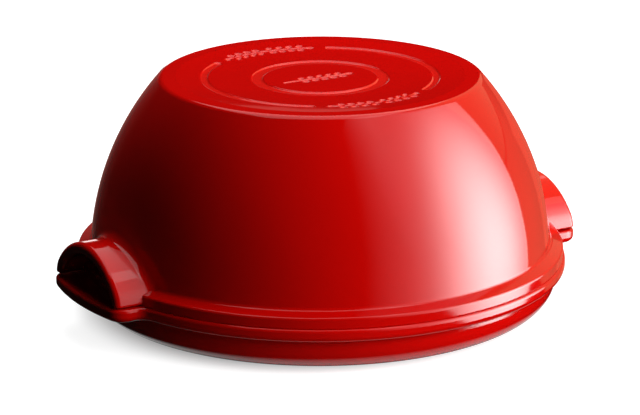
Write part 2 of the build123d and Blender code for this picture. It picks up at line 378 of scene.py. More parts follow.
def dome_outline():
    """Half section of the dome, from the top of its axis round the outside to the inside."""
    middle = CROWN_TOP - CROWN_DISH_DEPTH
    crown_edge = (wall_radius(CROWN_TOP), CROWN_TOP)
    cove = (wall_radius(COVE_HEIGHT), COVE_HEIGHT)
    tongue = wall_radius(SEAM, WALL_THICKNESS) + TONGUE_WIDTH
    tongue_inside = (wall_radius(TONGUE_FOOT, WALL_THICKNESS), TONGUE_FOOT)
    crown_inside = (wall_radius(CROWN_UNDER, WALL_THICKNESS), CROWN_UNDER)

    def step(point):
        """Spacing of the outline's points at one of them."""
        if on_crown_top(point):
            if min(abs(point[0] - edge) for edge in GROOVE_EDGES) < GROOVE_EDGE_REACH:
                return GROOVE_EDGE_SPACING
            return in_band(point[0], CROWN_SPACINGS)
        return FLANGE_SPACING if by_flange(point) else DOME_SPACING

    return outline([
        (run((0, middle), (CROWN_MIDDLE_RADIUS, middle)), 0),
        (run((CROWN_MIDDLE_RADIUS, middle), (CROWN_DISH_RADIUS, CROWN_TOP),
             (CROWN_MIDDLE_RADIUS, middle + CROWN_DISH_CURVE)), CROWN_DISH_EDGE),
        (run((CROWN_DISH_RADIUS, CROWN_TOP), crown_edge), CROWN_EDGE),
        (run(crown_edge, cove, WALL_CENTRE), COVE_ROUND),
        (run(cove, (FLANGE_RADIUS, FLANGE_TOP)), FLANGE_TOP_EDGE),
        (run((FLANGE_RADIUS, FLANGE_TOP), (FLANGE_RADIUS, SEAM)), FLANGE_UNDER_EDGE),
        (run((FLANGE_RADIUS, SEAM), (tongue, SEAM)), TONGUE_ROOT),
        (run((tongue, SEAM), (tongue, TONGUE_FOOT)), TONGUE_EDGE),
        (run((tongue, TONGUE_FOOT), tongue_inside), TONGUE_EDGE),
        (run(tongue_inside, crown_inside, WALL_CENTRE), CROWN_INSIDE_CORNER),
        (run(crown_inside, (0, CROWN_UNDER)), 0),
    ], step)


def dish_outline():
    """Half section of the dish, from its floor over the rim to the underside."""
    lean = math.radians(CONE_LEAN)
    curve = (BODY_CURVE_TOP - CONE_TOP) / math.cos(lean)
    cone = (BODY_RADIUS - curve * (1 - math.sin(lean)), CONE_TOP)
    foot = cone[0] - CONE_TOP / math.tan(lean)
    foot_inside = foot - FOOT_WIDTH

    def step(point):
        """Spacing of the outline's points at one of them."""
        radius, height = point
        if radius > RIM_ZONE_RADIUS:
            return RIM_SPACING
        by_foot = radius > FOOT_ZONE_RADIUS and height < FOOT_ZONE_HEIGHT
        return FOOT_SPACING if by_foot else DISH_SPACING

    return outline([
        (run((0, DISH_FLOOR), (DISH_RADIUS, DISH_FLOOR)), DISH_CORNER),
        (run((DISH_RADIUS, DISH_FLOOR), (DISH_RADIUS, LEDGE_HEIGHT)), LEDGE_EDGE),
        (run((DISH_RADIUS, LEDGE_HEIGHT), (LEDGE_RADIUS, LEDGE_HEIGHT)), LEDGE_CORNER),
        (run((LEDGE_RADIUS, LEDGE_HEIGHT), (LEDGE_RADIUS, SEAM)), LEDGE_EDGE),
        (run((LEDGE_RADIUS, SEAM), (RIM_RADIUS, SEAM)), RIM_TOP_EDGE),
        (run((RIM_RADIUS, SEAM), (RIM_RADIUS, RIM_UNDER)), RIM_NOSE),
        (run((RIM_RADIUS, RIM_UNDER), (BODY_RADIUS, RIM_UNDER)), GROOVE_CORNER),
        (run((BODY_RADIUS, RIM_UNDER), (BODY_RADIUS, BODY_CURVE_TOP)), 0),
        (run((BODY_RADIUS, BODY_CURVE_TOP), cone, (BODY_RADIUS - curve, BODY_CURVE_TOP)), 0),
        (run(cone, (foot, 0)), FOOT_EDGE),
        (run((foot, 0), (foot_inside, 0)), FOOT_EDGE),
        (run((foot_inside, 0), (foot_inside, FOOT_HEIGHT)), FOOT_EDGE),
        (run((foot_inside, FOOT_HEIGHT), (0, FOOT_HEIGHT)), 0),
    ], step)


def new_object(name, points, faces):
    """A mesh object from points in millimetres."""
    mesh = bpy.data.meshes.new(name)
    mesh.from_pydata((np.asarray(points) * MM).tolist(), [], faces)
    mesh.validate()
    obj = bpy.data.objects.new(name, mesh)
    bpy.context.scene.collection.objects.link(obj)
    return obj


def shade_with(obj, normals):
    """Smooth shading by one normal for each vertex."""
    obj.data.shade_smooth()
    directions = [Vector(normal).normalized() for normal in normals]
    obj.data.normals_split_custom_set_from_vertices(directions)


def own_normals(obj):
    """The smooth normals that a mesh has of its own, one for each vertex."""
    obj.data.shade_smooth()
    normals = np.zeros(len(obj.data.vertices) * 3)
    obj.data.vertex_normals.foreach_get("vector", normals)
    return normals.reshape(-1, 3)


def ring_faces(a, b, count):
    """Faces between two closed rings of points, from the first point of each."""
    return [(a + k, b + k, b + (k + 1) % count, a + (k + 1) % count) for k in range(count)]


def dome_segments(point):
    """How many segments a ring of the dome gets at a point of its outline."""
    radius, height = point
    if on_crown_top(point):
        return in_band(radius, CROWN_SEGMENTS)
    outside = radius > wall_radius(height, OUTSIDE_SKIN)
    return OUTSIDE_SEGMENTS if by_flange(point) or outside else in_band(radius, INSIDE_SEGMENTS)


def turned(points, segments):
    """Rings about the Z axis, each with its own number of segments, closed at both poles.

    From one ring to the next the number stays, doubles or halves."""
    counts = [1]
    for point in points[1:-1]:
        wanted = segments(point)
        if counts[-1] > 1:
            wanted = min(max(wanted, counts[-1] // 2), counts[-1] * 2)
        counts.append(wanted)
    counts.append(1)
    starts = np.concatenate([[0], np.cumsum(counts)])
    vertices = []
    for (radius, height), count in zip(points, counts):
        angles = np.arange(count) * 2 * math.pi / count
        ring = radius * (count > 1)
        level = np.full(count, height)
        vertices.append(np.stack([ring * np.cos(angles), ring * np.sin(angles), level], 1))
    faces = []
    for row in range(len(counts) - 1):
        here, there = counts[row], counts[row + 1]
        a, b = int(starts[row]), int(starts[row + 1])
        if here == 1:
            faces += [(a, b + k, b + (k + 1) % there) for k in range(there)]
        elif there == 1:
            faces += [(a + k, b, a + (k + 1) % here) for k in range(here)]
        elif here == there:
            faces += ring_faces(a, b, here)
        elif there == 2 * here:
            for k in range(here):
                following = a + (k + 1) % here
                middle = b + 2 * k + 1
                faces += [(a + k, b + 2 * k, middle), (a + k, middle, following),
                          (following, middle, b + (2 * k + 2) % there)]
        else:
            for k in range(there):
                following = b + (k + 1) % there
                middle = a + 2 * k + 1
                faces += [(a + 2 * k, b + k, middle), (middle, b + k, following),
                          (middle, following, a + (2 * k + 2) % here)]
    return np.concatenate(vertices), faces


def turned_normals(vertices, points, normals):
    """The outline's normal turned to each vertex."""
    tree = KDTree(len(points))
    for index, (radius, height) in enumerate(points):
        tree.insert((radius, height, 0), index)
    tree.balance()
    found = np.zeros((len(vertices), 3))
    for index, (x, y, z) in enumerate(vertices):
        radius = math.hypot(x, y)
        across, up = normals[tree.find((radius, z, 0))[1]]
        if radius < ON_AXIS:
            found[index] = (0, 0, math.copysign(1, up))
        else:
            found[index] = (across * x / radius, across * y / radius, up)
    return found


def add(tree, kind, inputs=None, **settings):
    """A node with its settings, its values and the sockets that feed it."""
    node = tree.nodes.new(kind)
    for name, value in settings.items():
        setattr(node, name, value)
    for key, value in (inputs or {}).items():
        socket = node.inputs[key]
        if isinstance(value, bpy.types.NodeSocket):
            tree.links.new(value, socket)
        else:
            socket.default_value = value
    return node


def new_geometry_tree(name, inputs):
    """A geometry node tree with named inputs, and its input and output nodes."""
    tree = bpy.data.node_groups.new(name, "GeometryNodeTree")
    tree.interface.new_socket("Geometry", in_out="INPUT", socket_type="NodeSocketGeometry")
    tree.interface.new_socket("Geometry", in_out="OUTPUT", socket_type="NodeSocketGeometry")
    for label, kind in inputs:
        tree.interface.new_socket(label, in_out="INPUT", socket_type=f"NodeSocket{kind}")
    return tree, tree.nodes.new("NodeGroupInput"), tree.nodes.new("NodeGroupOutput")


def apply_tree(obj, tree, values):
    """The object's mesh as the tree leaves it, with no modifier on it."""
    modifier = obj.modifiers.new(tree.name, "NODES")
    modifier.node_group = tree
    for item in tree.interface.items_tree:
        if item.item_type == "SOCKET" and item.in_out == "INPUT" and item.name in values:
            modifier[item.identifier] = values[item.name]
    graph = bpy.context.evaluated_depsgraph_get()
    mesh = bpy.data.meshes.new_from_object(obj.evaluated_get(graph))
    obj.modifiers.remove(modifier)
    obj.data = mesh
    return obj


def turning_tree():
    """Turns an outline, given as a chain of points in the XZ plane, about the Z axis."""
    tree, given, result = new_geometry_tree("turned casting", [
        ("Outline", "Object"), ("Points", "Int"), ("Segments", "Int"), ("Glaze", "Material"),
    ])
    segments = given.outputs["Segments"]
    columns = add(tree, "ShaderNodeMath", {0: segments, 1: 1.0}, operation="ADD").outputs[0]
    grid = add(tree, "GeometryNodeMeshGrid", {
        "Size X": 1.0, "Size Y": 1.0,
        "Vertices X": given.outputs["Points"], "Vertices Y": columns,
    })
    index = add(tree, "GeometryNodeInputIndex").outputs[0]
    row = add(tree, "ShaderNodeMath", {0: index, 1: columns}, operation="DIVIDE")
    row = add(tree, "ShaderNodeMath", {0: row.outputs[0]}, operation="FLOOR")
    column = add(tree, "ShaderNodeMath", {0: index, 1: columns}, operation="MODULO")
    share = add(tree, "ShaderNodeMath", {0: column.outputs[0], 1: segments}, operation="DIVIDE")
    angle = add(tree, "ShaderNodeMath", {0: share.outputs[0], 1: 2 * math.pi},
                operation="MULTIPLY")
    chain = add(tree, "GeometryNodeObjectInfo", {"Object": given.outputs["Outline"]})
    place = add(tree, "GeometryNodeInputPosition")
    sample = add(tree, "GeometryNodeSampleIndex", {
        "Geometry": chain.outputs["Geometry"], "Value": place.outputs[0],
        "Index": row.outputs[0],
    }, data_type="FLOAT_VECTOR", domain="POINT")
    spun = add(tree, "ShaderNodeVectorRotate", {
        "Vector": sample.outputs[0], "Axis": (0, 0, 1), "Angle": angle.outputs[0],
    }, rotation_type="AXIS_ANGLE")
    moved = add(tree, "GeometryNodeSetPosition", {
        "Geometry": grid.outputs["Mesh"], "Position": spun.outputs[0],
    })
    merged = add(tree, "GeometryNodeMergeByDistance", {
        "Geometry": moved.outputs[0], "Distance": MERGE_GAP * MM,
    })
    real = add(tree, "GeometryNodeRealizeInstances", {"Geometry": merged.outputs[0]})
    glazed = add(tree, "GeometryNodeSetMaterial", {
        "Geometry": real.outputs[0], "Material": given.outputs["Glaze"],
    })
    tree.links.new(glazed.outputs[0], result.inputs[0])
    return tree


def pressing_tree():
    """Presses rings, stems and grains into the crown.

    A ring's half width is kept on its line as half_width, and a grain's lie on its place as lie.
    How deep a place is pressed, as a share of a ring's depth, is kept in the attribute pooled."""
    tree, given, result = new_geometry_tree("pressed marks", [
        ("Rings", "Object"), ("Ring depth", "Float"),
        ("Stems", "Object"), ("Stem half width", "Float"), ("Stem depth", "Float"),
        ("Grains", "Object"), ("Grain half length", "Float"), ("Grain half width", "Float"),
        ("Grain depth", "Float"), ("Edge softness", "Float"), ("Glaze", "Material"),
    ])
    soft = given.outputs["Edge softness"]
    place = add(tree, "GeometryNodeInputPosition").outputs[0]

    def groove(lines, depth, half_width=None):
        """Depth of a groove along lines, as wide as the lines say where no half width is given."""
        shape = add(tree, "GeometryNodeObjectInfo", {"Object": given.outputs[lines]})
        shape = shape.outputs["Geometry"]
        near = add(tree, "GeometryNodeProximity", {"Geometry": shape}, target_element="EDGES")
        if half_width is None:
            kept = add(tree, "GeometryNodeInputNamedAttribute", {"Name": "half_width"},
                       data_type="FLOAT")
            nearest = add(tree, "GeometryNodeSampleNearest", {"Geometry": shape}, domain="POINT")
            width = add(tree, "GeometryNodeSampleIndex", {
                "Geometry": shape, "Value": kept.outputs[0], "Index": nearest.outputs[0],
            }, data_type="FLOAT", domain="POINT").outputs[0]
        else:
            width = given.outputs[half_width]
        outer = add(tree, "ShaderNodeMath", {0: width, 1: soft}, operation="ADD")
        inner = add(tree, "ShaderNodeMath", {0: width, 1: soft}, operation="SUBTRACT")
        return add(tree, "ShaderNodeMapRange", {
            "Value": near.outputs["Distance"],
            "From Min": outer.outputs[0], "From Max": inner.outputs[0],
            "To Min": 0.0, "To Max": given.outputs[depth],
        }, interpolation_type="SMOOTHSTEP").outputs[0]

    grains = add(tree, "GeometryNodeObjectInfo", {"Object": given.outputs["Grains"]})
    grains = grains.outputs["Geometry"]
    nearest = add(tree, "GeometryNodeSampleNearest", {"Geometry": grains}, domain="POINT")
    nearest = nearest.outputs[0]
    centre = add(tree, "GeometryNodeSampleIndex", {
        "Geometry": grains, "Value": place, "Index": nearest,
    }, data_type="FLOAT_VECTOR", domain="POINT")
    lie = add(tree, "GeometryNodeInputNamedAttribute", {"Name": "lie"}, data_type="FLOAT")
    lie = add(tree, "GeometryNodeSampleIndex", {
        "Geometry": grains, "Value": lie.outputs[0], "Index": nearest,
    }, data_type="FLOAT", domain="POINT")
    offset = add(tree, "ShaderNodeVectorMath", {0: place, 1: centre.outputs[0]},
                 operation="SUBTRACT")
    back = add(tree, "ShaderNodeMath", {0: lie.outputs[0], 1: -1.0}, operation="MULTIPLY")
    turned_back = add(tree, "ShaderNodeVectorRotate", {
        "Vector": offset.outputs[0], "Axis": (0, 0, 1), "Angle": back.outputs[0],
    }, rotation_type="AXIS_ANGLE")
    size = add(tree, "ShaderNodeCombineXYZ", {
        "X": given.outputs["Grain half length"], "Y": given.outputs["Grain half width"],
        "Z": given.outputs["Grain half width"],
    })
    scaled = add(tree, "ShaderNodeVectorMath", {0: turned_back.outputs[0], 1: size.outputs[0]},
                 operation="DIVIDE")
    reach = add(tree, "ShaderNodeVectorMath", {0: scaled.outputs[0]}, operation="LENGTH")
    grain = add(tree, "ShaderNodeMapRange", {
        "Value": reach.outputs["Value"], "From Min": GRAIN_BRIM, "From Max": GRAIN_BED,
        "To Min": 0.0, "To Max": given.outputs["Grain depth"],
    }, interpolation_type="SMOOTHSTEP").outputs[0]
    ring = groove("Rings", "Ring depth")
    stem = groove("Stems", "Stem depth", "Stem half width")
    deepest = add(tree, "ShaderNodeMath", {0: ring, 1: grain}, operation="MAXIMUM")
    deepest = add(tree, "ShaderNodeMath", {0: deepest.outputs[0], 1: stem}, operation="MAXIMUM")
    deepest = deepest.outputs[0]
    lowered = add(tree, "ShaderNodeMath", {0: deepest, 1: -1.0}, operation="MULTIPLY")
    push = add(tree, "ShaderNodeCombineXYZ", {"Z": lowered.outputs[0]})
    # Share of a ring's depth at each point, kept on the mesh; the glaze paints the marks paler by
    # it, a painted highlight
    share = add(tree, "ShaderNodeMath", {0: deepest, 1: given.outputs["Ring depth"]},
                operation="DIVIDE")
    stored = add(tree, "GeometryNodeStoreNamedAttribute", {
        "Geometry": given.outputs["Geometry"], "Name": "pooled", "Value": share.outputs[0],
    }, data_type="FLOAT", domain="POINT")
    pressed = add(tree, "GeometryNodeSetPosition", {
        "Geometry": stored.outputs[0], "Offset": push.outputs[0],
    })
    real = add(tree, "GeometryNodeRealizeInstances", {"Geometry": pressed.outputs[0]})
    glazed = add(tree, "GeometryNodeSetMaterial", {
        "Geometry": real.outputs[0], "Material": given.outputs["Glaze"],
    })
    tree.links.new(glazed.outputs[0], result.inputs[0])
    return tree


def on_crown(radius, angles):
    """Points of the crown at a radius and a list of angles."""
    angles = np.asarray(angles, float)
    radius = np.broadcast_to(np.asarray(radius, float), angles.shape)
    return np.stack([radius * np.cos(angles), radius * np.sin(angles), crown_height(radius)], 1)


def chains(name, lines, values=None, label="half_width"):
    """An object of open chains of points, with a value kept on every point of a chain."""
    points = np.concatenate(lines) * MM
    edges, start = [], 0
    for line in lines:
        edges += [(start + k, start + k + 1) for k in range(len(line) - 1)]
        start += len(line)
    mesh = bpy.data.meshes.new(name)
    mesh.from_pydata(points.tolist(), edges, [])
    if values is not None:
        layer = mesh.attributes.new(label, "FLOAT", "POINT")
        spread = np.repeat(values, [len(line) for line in lines]).astype(np.float32)
        layer.data.foreach_set("value", spread)
    obj = bpy.data.objects.new(name, mesh)
    bpy.context.scene.collection.objects.link(obj)
    return obj


def crown_grains():
    """Places and lies of all grains: a sprig across each gap of the ring, an ear in the middle."""
    places, lies = [], []
    for middle in (math.pi / 2, -math.pi / 2):
        for side in (-1, 1):
            for pair in range(SPRIG_PAIRS):
                angle = middle + side * (SPRIG_START + pair * GRAIN_PITCH) / RING_RADIUS
                for bank in (-1, 1):
                    places.append(on_crown(RING_RADIUS + bank * GRAIN_SPREAD, [angle])[0])
                    lies.append(angle + side * math.radians(90 - bank * GRAIN_LEAN))
            tip = middle + side * (SPRIG_START + SPRIG_PAIRS * GRAIN_PITCH) / RING_RADIUS
            places.append(on_crown(RING_RADIUS, [tip])[0])
            lies.append(tip + math.pi / 2)
    for pair in range(EAR_PAIRS):
        for bank in (-1, 1):
            along = EAR_TIP - (pair + 1) * GRAIN_PITCH
            places.append((along, bank * GRAIN_SPREAD, crown_height(0)))
            lies.append(bank * math.radians(GRAIN_LEAN))
    places.append((EAR_TIP, 0, crown_height(0)))
    lies.append(0.0)
    return np.array(places), np.array(lies)


def make_dome(glaze):
    """The dome, turned, with the marks pressed into its crown."""
    points, normals = dome_outline()
    vertices, faces = turned(points, dome_segments)
    dome = new_object("dome_casting", vertices, faces)
    sweep = np.radians(np.linspace(-RING_HALF_ANGLE, RING_HALF_ANGLE, RING_POINTS))
    whole = np.radians(np.linspace(0, 360, INNER_RING_POINTS))
    half_widths = np.array([RING_HALF_WIDTH, RING_HALF_WIDTH, INNER_RING_HALF_WIDTH])
    rings = chains("ring_lines", [
        on_crown(RING_RADIUS, sweep), on_crown(RING_RADIUS, sweep + math.pi),
        on_crown(INNER_RING_RADIUS, whole),
    ], half_widths * MM)
    reach = (SPRIG_START + SPRIG_PAIRS * GRAIN_PITCH) / RING_RADIUS
    bow = np.linspace(-reach, reach, SPRIG_POINTS)
    straight = np.linspace(-EAR_HALF_LENGTH, EAR_TIP, EAR_POINTS)
    stems = chains("stem_lines", [
        on_crown(RING_RADIUS, bow + math.pi / 2), on_crown(RING_RADIUS, bow - math.pi / 2),
        np.stack([straight, straight * 0, np.full(EAR_POINTS, crown_height(0))], 1),
    ])
    places, lies = crown_grains()
    grains = chains("grain_places", [places[k:k + 1] for k in range(len(places))], lies, "lie")
    apply_tree(dome, pressing_tree(), {
        "Rings": rings, "Ring depth": RING_DEPTH * MM,
        "Stems": stems, "Stem half width": STEM_HALF_WIDTH * MM, "Stem depth": STEM_DEPTH * MM,
        "Grains": grains, "Grain half length": GRAIN_HALF_LENGTH * MM,
        "Grain half width": GRAIN_HALF_WIDTH * MM, "Grain depth": GRAIN_DEPTH * MM,
        "Edge softness": MARK_SOFTNESS * MM, "Glaze": glaze,
    })
    for helper in (rings, stems, grains):
        bpy.data.objects.remove(helper)

    # The outline's exact normals everywhere but on the marks and the faces next to them
    own = own_normals(dome)
    shading = turned_normals(vertices, points, normals)
    depth = np.zeros(len(vertices))
    dome.data.attributes["pooled"].data.foreach_get("value", depth)
    pressed = depth > PRESSED_SHARE
    marked = pressed.copy()
    for face in dome.data.polygons:
        if any(pressed[v] for v in face.vertices):
            marked[list(face.vertices)] = True
    shading[marked] = own[marked]
    shade_with(dome, shading)
    return dome


def make_dish(glaze, bare):
    """The dish, turned, with its foot ring left bare."""
    points, normals = dish_outline()
    section = np.stack([points[:, 0], points[:, 0] * 0, points[:, 1]], 1)
    chain = chains("dish_outline", [section])
    dish = new_object("dish_casting", [(0, 0, 0)], [])
    apply_tree(dish, turning_tree(), {
        "Outline": chain, "Points": len(points), "Segments": DISH_SEGMENTS, "Glaze": glaze,
    })
    bpy.data.objects.remove(chain)
    mesh = dish.data
    mesh.materials.pop(index=0)
    mesh.materials.append(bare)

    # The faces that the dish stands on have to look down
    lowest = [face.normal.z for face in mesh.polygons if face.center.z < ON_GROUND * MM]
    if sum(lowest) > 0:
        mesh.flip_normals()
    for face in mesh.polygons:
        face.material_index = int(face.center.z < BARE_HEIGHT * MM)
    places = np.array([vertex.co for vertex in mesh.vertices]) / MM
    shade_with(dish, turned_normals(places, points, normals))
    return dish


def arch_points(spacing):
    """Places (y, z) and outward normals along the hood's arch, from one foot to the other."""
    middle = HOOD_HALF_WIDTH - HOOD_SHOULDER
    top = (middle**2 + HOOD_RISE**2 - HOOD_SHOULDER**2) / (2 * (HOOD_RISE - HOOD_SHOULDER))
    low = HOOD_FOOT + HOOD_RISE - top
    join = math.atan2(HOOD_FOOT - low, middle)
    places, normals = [], []
    for centre, radius, first, last in (
        ((middle, HOOD_FOOT), HOOD_SHOULDER, 0, join),
        ((0, low), top, join, math.pi - join),
        ((-middle, HOOD_FOOT), HOOD_SHOULDER, math.pi - join, math.pi),
    ):
        count = int(math.ceil(radius * (last - first) / spacing))
        for angle in np.linspace(first, last, count + 1)[(1 if places else 0):]:
            normal = np.array((math.cos(angle), math.sin(angle)))
            places.append(np.array(centre) + radius * normal)
            normals.append(normal)
    return places, normals


def wall_normal(point):
    """Outward normal of the dome's wall next to a point."""
    radius = math.hypot(point[0], point[1])
    slope = np.array((radius - WALL_CENTRE[0], point[2] - WALL_CENTRE[1]))
    slope /= np.linalg.norm(slope)
    return np.array((slope[0] * point[0] / radius, slope[0] * point[1] / radius, slope[1]))


def root(place, normal, offset, ball):
    """Ball centre, and the normals at both its touches, of the fillet between wall and hood."""
    side = math.copysign(1.0, offset + HOOD_WALL / 2)
    across, up = place + normal * (offset + side * ball)
    radius = wall_radius(up, -ball)
    centre = np.array((math.sqrt(radius**2 - across**2), across, up))
    return centre, wall_normal(centre), np.array((0, side * normal[0], side * normal[1]))


def hood_section(place, normal, inset):
    """Points and normals round the hood's wall at one place of its arch, in two equal halves.

    Each half runs out of the dome's wall, round the fillet at its root, along the hood and over
    half of its lip."""
    root_steps, flank_steps, lip_steps = 10, 7, 10

    def at(x, offset):
        """A point of the section, so far out along X and so far off the arch's outside."""
        return np.array((x, *(place + normal * offset)))

    def bent(share_out, share_x):
        """A normal with so much of the arch's own direction and so much of X in it."""
        return np.array((share_x, share_out * normal[0], share_out * normal[1]))

    halves = []
    for offset, ball, sign in (
        (-inset, HOOD_ROOT, 1),
        (-HOOD_WALL + inset, HOOD_INSIDE_ROOT, -1),
    ):
        centre, from_wall, from_hood = root(place, normal, offset, ball)
        painted_contact_shade = centre - from_wall * ball
        half = [(painted_contact_shade - from_wall * HOOD_ROOT_SINK, from_wall)]
        turn = math.acos(float(np.clip(from_wall @ from_hood, -1, 1)))
        for share in np.linspace(0, 1, root_steps):
            wall_share, hood_share = math.sin((1 - share) * turn), math.sin(share * turn)
            mixed = (wall_share * from_wall + hood_share * from_hood) / math.sin(turn)
            half.append((centre - mixed * ball, mixed))
        lip_start = HOOD_REACH - HOOD_LIP
        for x in np.linspace(centre[0], lip_start, flank_steps)[1:]:
            half.append((at(x, offset), bent(sign, 0)))
        lip_centre = -HOOD_LIP if sign > 0 else -HOOD_WALL + HOOD_LIP
        for angle in np.linspace(0, math.pi / 2, lip_steps)[1:]:
            radius = HOOD_LIP - inset
            out = sign * radius * math.cos(angle)
            half.append((at(lip_start + radius * math.sin(angle), lip_centre + out),
                         bent(sign * math.cos(angle), math.sin(angle))))
        halves.append(half)
    loop = halves[0] + halves[1][::-1]
    return np.array([point for point, _ in loop]), np.array([way for _, way in loop])


def make_hood(name, side, glaze):
    """One hood handle, closed, its root run a little way into the wall."""
    places, normals = arch_points(HOOD_SPACING)

    def foot_row(end, turn):
        """The section at one end of the arch, drawn in and down round its foot's edge."""
        points, ways = hood_section(places[end], normals[end],
                                    HOOD_FOOT_EDGE * (1 - math.cos(turn)))
        points[:, 2] += HOOD_FOOT_EDGE * (1 - math.sin(turn))
        return points, ways * math.cos(turn) + np.array((0, 0, -1)) * math.sin(turn)

    # A quarter round in five steps at each foot. The arch starts above it, lifted by its radius.
    turns = np.radians([90, 72, 54, 36, 18])
    rows = [foot_row(0, turn) for turn in turns]
    lift = np.array((0, HOOD_FOOT_EDGE))
    for place, normal in zip(places, normals):
        share = max(1 - (place[1] - HOOD_FOOT) / HOOD_LIFT_FADE, 0)
        rows.append(hood_section(place + lift * share, normal, 0.0))
    rows += [foot_row(-1, turn) for turn in turns[::-1]]
    count = len(rows[0][0])
    points = np.concatenate([row[0] for row in rows])
    ways = np.concatenate([row[1] for row in rows])
    faces = []
    for row in range(len(rows) - 1):
        faces += ring_faces(row * count, (row + 1) * count, count)
    last = (len(rows) - 1) * count
    for k in range(count // 2 - 1):
        near, far = k, count - 1 - k
        faces.append((near, near + 1, far - 1, far))
        faces.append((last + near, last + far, last + far - 1, last + near + 1))
    points[:, :2] *= side
    ways[:, :2] *= side
    hood = new_object(name, points, faces)
    hood.data.materials.append(glaze)
    shade_with(hood, ways)
    return hood


def lug_path():
    """Places and outward normals of the lug's edge in plan, from the rim out and back to it."""
    start_angle = 0.5
    root_across = math.sqrt(RIM_RADIUS**2 - LUG_HALF_WIDTH**2)
    front = LUG_REACH - LUG_FRONT
    corner = front + math.sqrt(LUG_FRONT**2 - LUG_HALF_WIDTH**2)
    ends = [RIM_RADIUS * np.array((math.cos(angle), math.sin(angle)))
            for angle in (start_angle, -start_angle)]
    path, ways = outline([
        (run(ends[0], (root_across, LUG_HALF_WIDTH), (0, 0)), LUG_ROOT),
        (run((root_across, LUG_HALF_WIDTH), (corner, LUG_HALF_WIDTH)), LUG_CORNER),
        (run((corner, LUG_HALF_WIDTH), (corner, -LUG_HALF_WIDTH), (front, 0)), LUG_CORNER),
        (run((corner, -LUG_HALF_WIDTH), (root_across, -LUG_HALF_WIDTH)), LUG_ROOT),
        (run((root_across, -LUG_HALF_WIDTH), ends[1], (0, 0)), 0),
    ], lambda point: LUG_SPACING)
    off_rim = np.abs(np.hypot(path[:, 0], path[:, 1]) - RIM_RADIUS) > ON_RIM
    first, last = np.flatnonzero(off_rim)[[0, -1]]
    return path[first - 1:last + 2], ways[first - 1:last + 2]


def scoop_height(x, y):
    """Height of the lug's underside, a hair below the dish's, with the finger scoop in it."""
    aside = max(abs(y) - SCOOP_HALF_LENGTH, 0)
    away = math.hypot(x - SCOOP_REACH, aside)
    hollow = math.sqrt(max(SCOOP_RADIUS**2 - away**2, 0)) - (SCOOP_RADIUS - SCOOP_DEPTH)
    return RIM_UNDER + 0.5 * (hollow + math.sqrt(hollow**2 + SCOOP_SOFTNESS)) - UNDER_OVERLAP


def make_lug(name, side, glaze):
    """One lug, closed, running out of the rim's bead and back into it."""
    top_steps, edge_steps, under_steps = 6, 10, 15
    inner_radius = RIM_RADIUS - RIM_NOSE
    top, bottom = SEAM - RIM_TOP_EDGE, RIM_UNDER + RIM_NOSE
    rows = []
    for place, way in zip(*lug_path()):
        inside = place - way * RIM_NOSE
        target = inside * inner_radius / np.linalg.norm(inside)
        above = place - way * RIM_TOP_EDGE
        ring, lies = [], []
        for share in np.linspace(0, 1, top_steps + 1)[:-1]:
            ring.append((*(target + share * (above - target)), SEAM))
            lies.append((0, 0, 1))
        for angle in np.linspace(0, math.pi / 2, edge_steps):
            out = above + way * RIM_TOP_EDGE * math.sin(angle)
            ring.append((*out, top + RIM_TOP_EDGE * math.cos(angle)))
            lies.append((*(way * math.sin(angle)), math.cos(angle)))
        for angle in np.linspace(math.pi / 2, math.pi, edge_steps):
            out = inside + way * RIM_NOSE * math.sin(angle)
            ring.append((*out, bottom + RIM_NOSE * math.cos(angle)))
            lies.append((*(way * math.sin(angle)), math.cos(angle)))
        for share in np.linspace(0, 1, under_steps + 1)[1:]:
            x, y = inside + share * (target - inside)
            ring.append((x, y, scoop_height(x, y)))
            lies.append((0, 0, -1))
        rows.append((ring, lies))
    count = len(rows[0][0])
    points = np.array([point for row in rows for point in row[0]])
    ways = np.array([way for row in rows for way in row[1]])
    faces = []
    for row in range(len(rows) - 1):
        faces += ring_faces(row * count, (row + 1) * count, count)
    faces.append(tuple(range(count)))
    faces.append(tuple((len(rows) - 1) * count + k for k in range(count))[::-1])
    points[:, :2] *= side
    ways[:, :2] *= side
    lug = new_object(name, points, faces)
    lug.data.materials.append(glaze)
    under = np.tile(np.arange(count) > top_steps + 2 * edge_steps, len(rows))
    scooped = under & (points[:, 2] > RIM_UNDER + SCOOP_SHADED)
    ways[scooped] = own_normals(lug)[scooped]
    shade_with(lug, ways)
    return lug


def shade(hex_code):
    """Linear colour of an sRGB hex code."""
    values = [int(hex_code[k:k + 2], 16) / 255 for k in (1, 3, 5)]
    linear = [v / 12.92 if v <= 0.04045 else ((v + 0.055) / 1.055) ** 2.4 for v in values]
    return (*linear, 1.0)


def per_metre(width):
    """A texture's scale for a pattern that is so many millimetres wide."""
    return 1 / (width * MM)


def new_material(name):
    """An empty material with its output node."""
    material = bpy.data.materials.new(name)
    material.use_nodes = True
    material.node_tree.nodes.clear()
    return material, material.node_tree, material.node_tree.nodes.new("ShaderNodeOutputMaterial")


